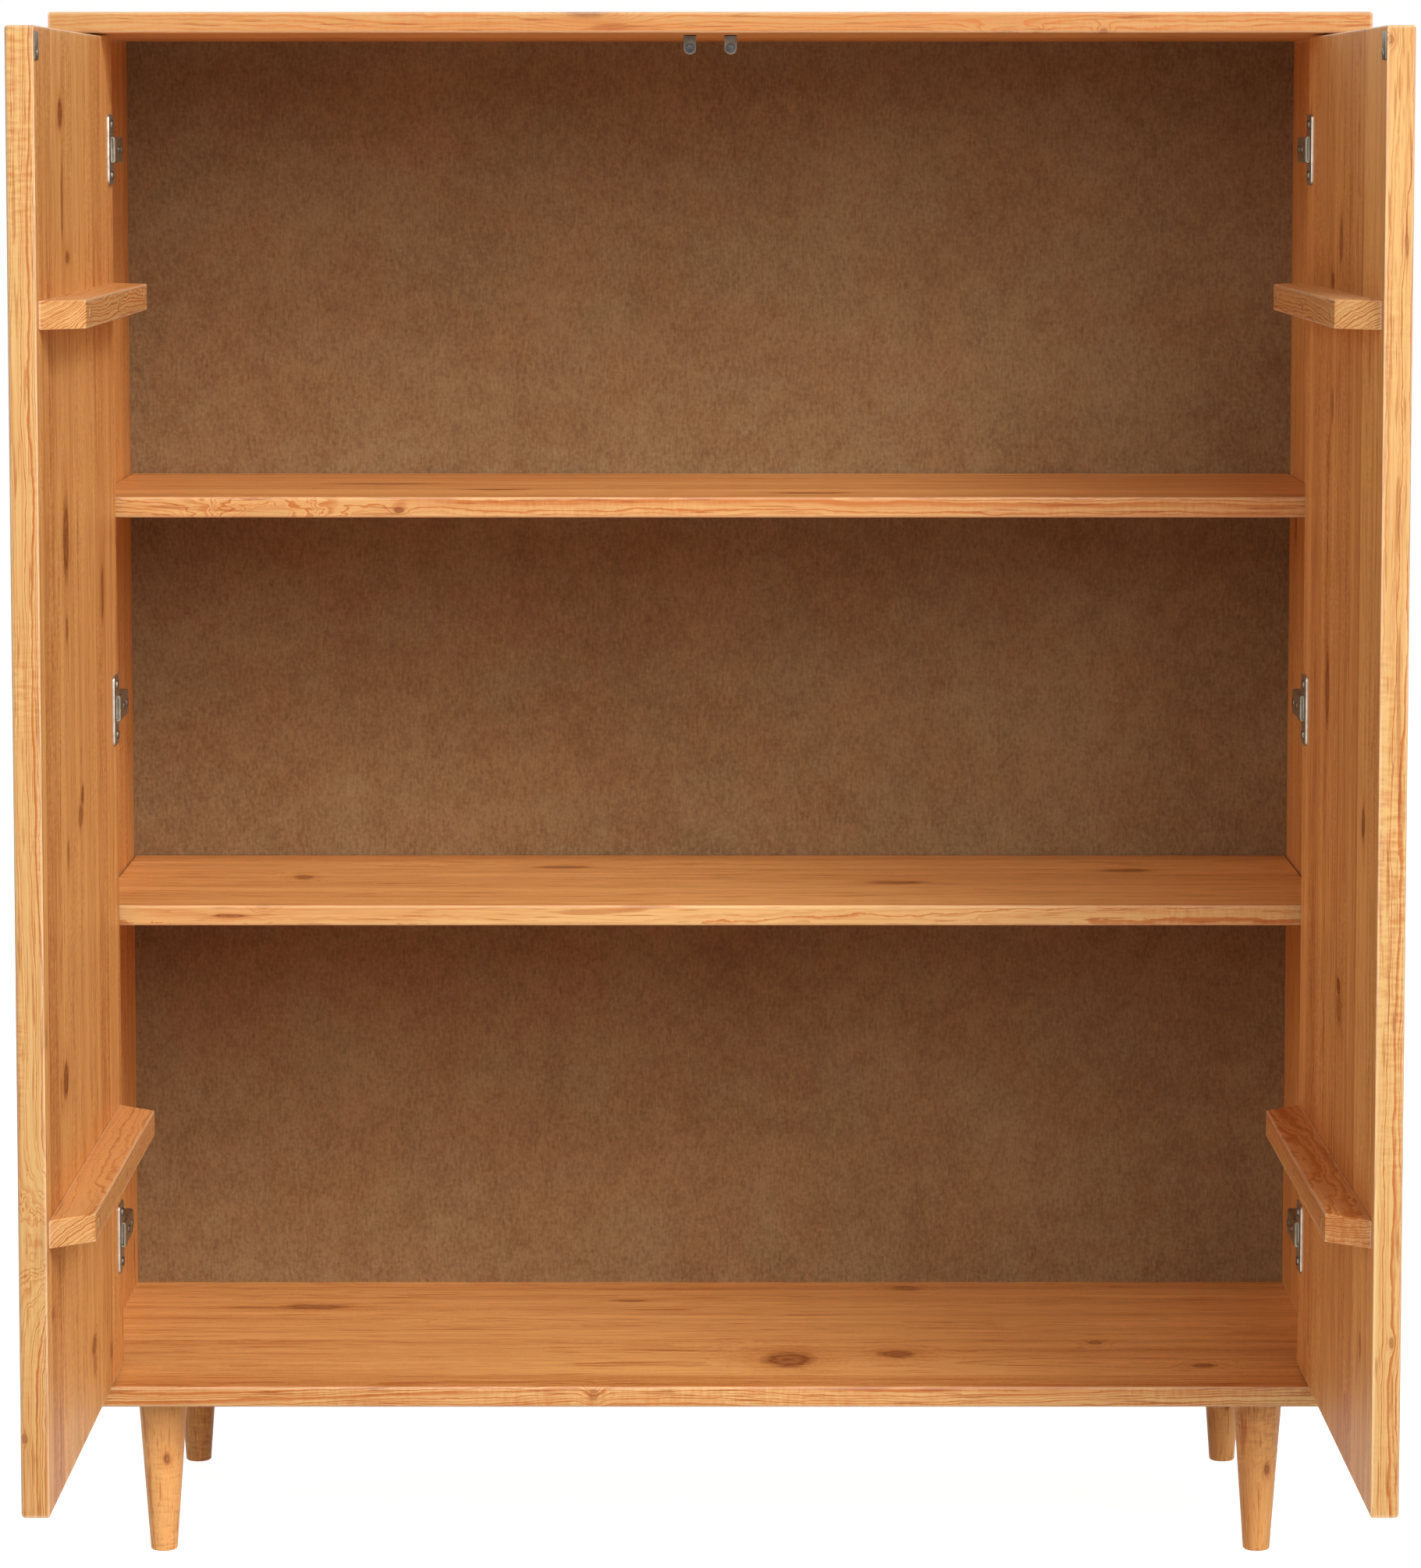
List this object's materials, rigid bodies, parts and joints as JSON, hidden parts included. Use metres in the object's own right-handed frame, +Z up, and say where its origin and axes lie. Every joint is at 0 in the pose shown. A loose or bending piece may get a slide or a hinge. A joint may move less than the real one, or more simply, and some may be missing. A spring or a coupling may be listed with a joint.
{
  "type": "highboard",
  "caption": "Free-standing wooden highboard with recessed hinged doors standing open, inner shelves, battens on the doors, magnet catches and tapered round legs.",
  "frame": {"origin": "on the floor, at the middle of the footprint that the highboard has with both doors standing open at a right angle", "axes": "+X to the right seen from the front, +Y from the doors to the back panel, +Z up"},
  "size_m": [1, 0.8014, 1.198],
  "materials": {
    "board_wood": "oiled solid pine, honey coloured",
    "side_wood": "oiled solid pine, honey coloured",
    "back_board": "brown hardboard",
    "shelf_wood": "oiled solid pine, honey coloured",
    "hinge_steel": "nickel-plated sheet",
    "dowel_wood": "raw beech",
    "leg_wood": "turned pine, oiled",
    "screw_steel": "zinc-plated",
    "magnet": "nickel-plated magnet",
    "door_wood": "oiled solid pine, honey coloured",
    "cleat_wood": "oiled solid pine, honey coloured",
    "plug_wood": "oiled end grain",
    "strike_steel": "zinc-plated sheet"
  },
  "bodies": {
    "carcass": {"top_board": "board_wood", "bottom_board": "board_wood", "left_side_panel": "side_wood", "right_side_panel": "side_wood", "back_panel": "back_board", "upper_shelf": "shelf_wood", "lower_shelf": "shelf_wood", "shelf_pins": "hinge_steel", "carcass_dowels": "dowel_wood", "front_left_leg": "leg_wood", "front_right_leg": "leg_wood", "rear_left_leg": "leg_wood", "rear_right_leg": "leg_wood", "leg_plates": "hinge_steel", "leg_bolts": "screw_steel", "leg_plate_screws": "screw_steel", "left_catch_bracket": "hinge_steel", "right_catch_bracket": "hinge_steel", "catch_magnets": "magnet", "catch_screws": "screw_steel", "left_upper_hinge_base": "hinge_steel", "left_middle_hinge_base": "hinge_steel", "left_lower_hinge_base": "hinge_steel", "right_upper_hinge_base": "hinge_steel", "right_middle_hinge_base": "hinge_steel", "right_lower_hinge_base": "hinge_steel", "left_upper_hinge_arm": "hinge_steel", "left_middle_hinge_arm": "hinge_steel", "left_lower_hinge_arm": "hinge_steel", "right_upper_hinge_arm": "hinge_steel", "right_middle_hinge_arm": "hinge_steel", "right_lower_hinge_arm": "hinge_steel", "hinge_base_screws": "screw_steel", "hinge_arm_rivets": "screw_steel"},
    "left_door": {"left_door_panel": "door_wood", "left_upper_cleat": "cleat_wood", "left_lower_cleat": "cleat_wood", "left_cleat_screws": "screw_steel", "left_cleat_plugs": "plug_wood", "left_strike_plate": "strike_steel", "left_strike_screw": "screw_steel", "left_upper_hinge_cup": "hinge_steel", "left_middle_hinge_cup": "hinge_steel", "left_lower_hinge_cup": "hinge_steel", "left_hinge_pins": "screw_steel", "left_cup_screws": "screw_steel"},
    "right_door": {"right_door_panel": "door_wood", "right_upper_cleat": "cleat_wood", "right_lower_cleat": "cleat_wood", "right_cleat_screws": "screw_steel", "right_cleat_plugs": "plug_wood", "right_strike_plate": "strike_steel", "right_strike_screw": "screw_steel", "right_upper_hinge_cup": "hinge_steel", "right_middle_hinge_cup": "hinge_steel", "right_lower_hinge_cup": "hinge_steel", "right_hinge_pins": "screw_steel", "right_cup_screws": "screw_steel"}
  },
  "joints": [
    {"name": "left_door_swing", "type": "hinge", "parent": "carcass", "child": "left_door", "pos_m": [-0.46961, 0.06791, 0.662], "axis": [0, 0, 1], "range_deg": [0, 90]},
    {"name": "right_door_swing", "type": "hinge", "parent": "carcass", "child": "right_door", "pos_m": [0.46961, 0.06791, 0.662], "axis": [0, 0, -1], "range_deg": [0, 90]}
  ]
}
